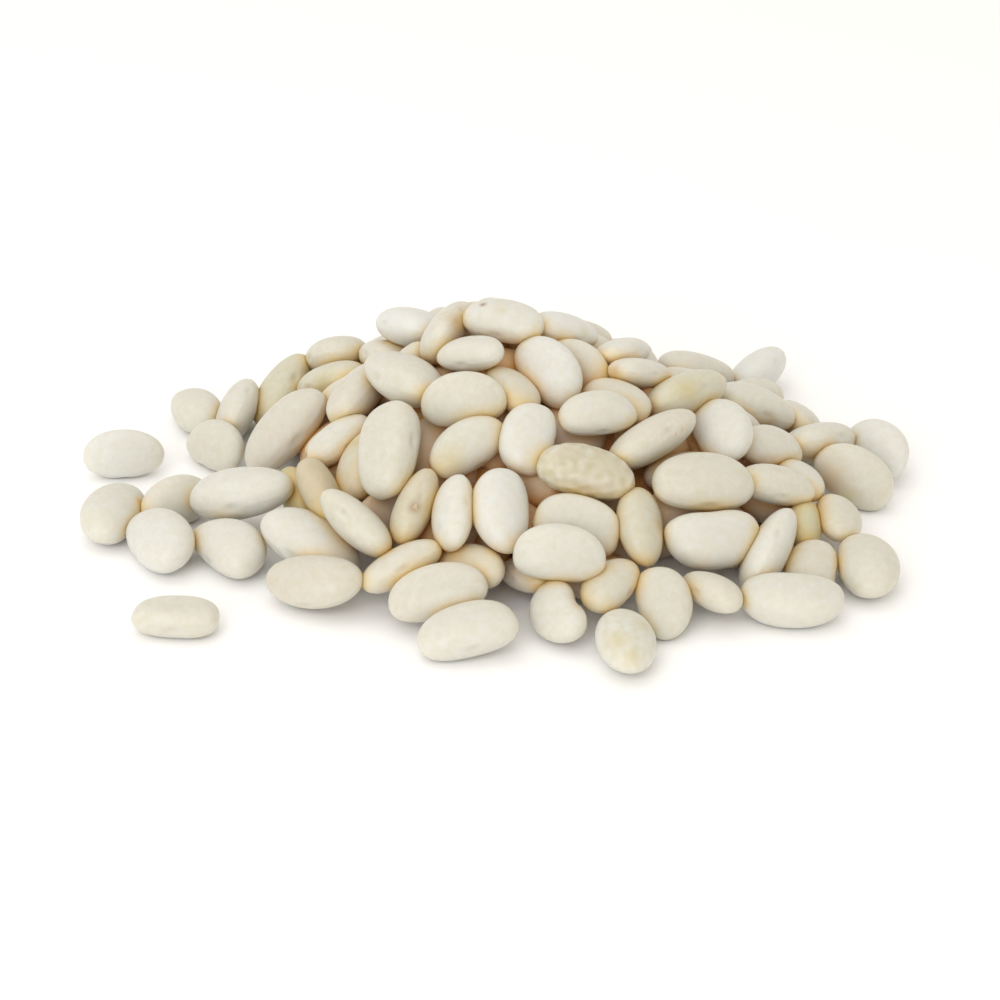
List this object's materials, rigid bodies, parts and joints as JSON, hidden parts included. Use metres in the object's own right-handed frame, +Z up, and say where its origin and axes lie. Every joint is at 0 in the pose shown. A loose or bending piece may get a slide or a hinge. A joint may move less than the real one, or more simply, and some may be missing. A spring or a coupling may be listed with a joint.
{
  "type": "heap of dried white beans",
  "caption": "Loose heap of dried white kidney beans as poured out on a flat surface, with two beans lying just clear of it.",
  "frame": {"origin": "middle of the outline, on the surface that the heap lies on", "axes": "+X to the right along the longest extent, +Y away from the front, +Z up"},
  "size_m": [0.1446, 0.1234, 0.0335],
  "materials": {
    "bean_skin": "satin"
  },
  "bodies": {
    "root": {"bean_heap": "bean_skin", "bean_apart_front": "bean_skin", "bean_apart_left": "bean_skin"}
  },
  "joints": []
}
